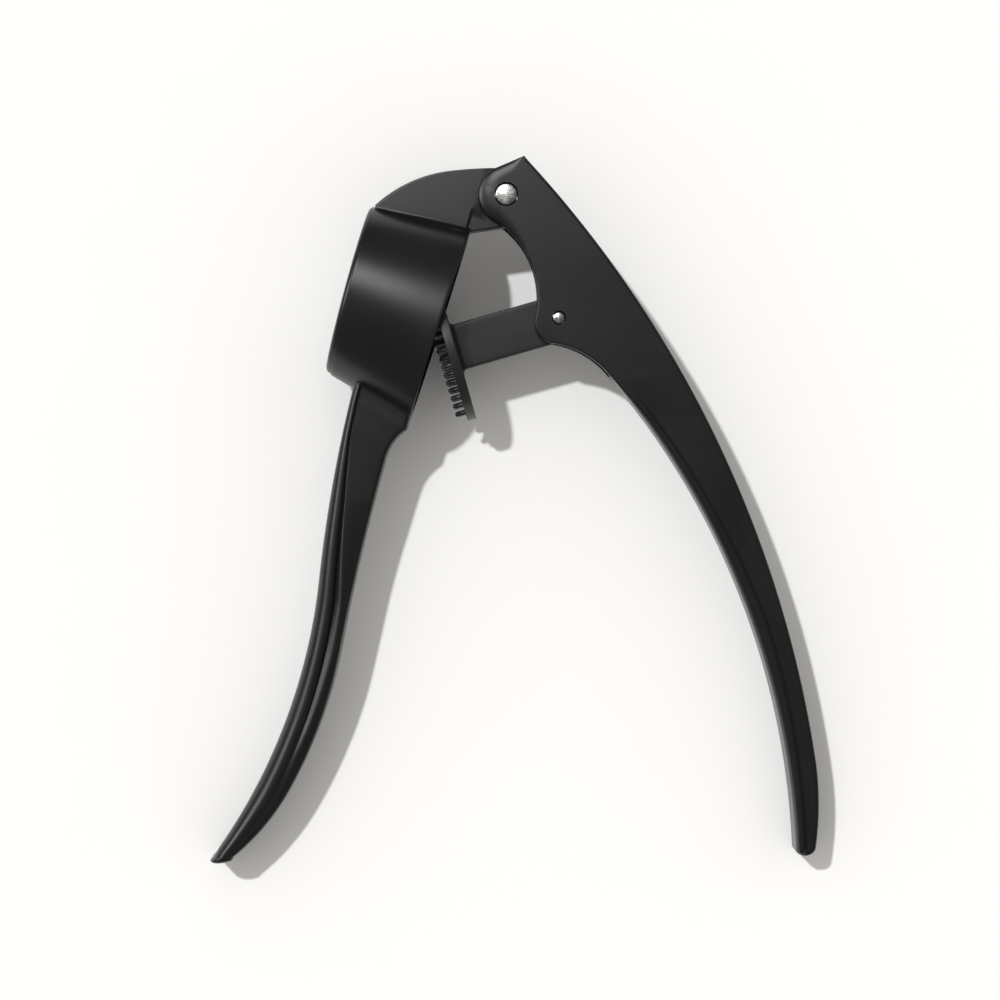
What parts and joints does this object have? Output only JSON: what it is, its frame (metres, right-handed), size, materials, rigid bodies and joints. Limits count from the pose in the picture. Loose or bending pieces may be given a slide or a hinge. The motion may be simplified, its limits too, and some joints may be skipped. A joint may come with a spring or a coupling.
{
  "type": "garlic press",
  "caption": "Hand garlic press with an oval hopper and sieve, a hinged upper handle, and a swinging plunger plate with pegs on its face.",
  "frame": {"origin": "under the middle of the whole press, on the surface that it lies on", "axes": "+Z along the pins, up from the side that it lies on; +X along the hopper from its sieve to its mouth; +Y from the hopper up to the main hinge"},
  "size_m": [0.1492, 0.19, 0.034],
  "materials": {
    "coating": "satin black coating on a zinc casting",
    "sieve_steel": "stainless sheet, fine brushed",
    "peg_plastic": "glossy moulded black plastic",
    "pin_steel": "turned stainless steel",
    "washer_plastic": "plain black nylon"
  },
  "bodies": {
    "hopper": {"hopper_handle": "coating", "sieve_plate": "sieve_steel", "main_pivot_washers": "washer_plastic"},
    "press": {"press_handle": "coating", "main_pivot_pin": "pin_steel", "plunger_pivot_pin": "pin_steel"},
    "plunger": {"plunger": "coating", "peg_plate": "peg_plastic", "plunger_pivot_washers": "washer_plastic"}
  },
  "joints": [
    {"name": "handle_hinge", "type": "hinge", "parent": "hopper", "child": "press", "pos_m": [-0.04267, 0.08478, 0.017], "axis": [0, 0, 1], "range_deg": [-34, 50]},
    {"name": "plunger_hinge", "type": "hinge", "parent": "press", "child": "plunger", "pos_m": [-0.02208, 0.0588, 0.017], "axis": [0, 0, 1], "range_deg": [-4, 3]}
  ],
  "couplings": [
    {"joint": "plunger_hinge", "follows": "handle_hinge", "ratio": -0.0765}
  ]
}
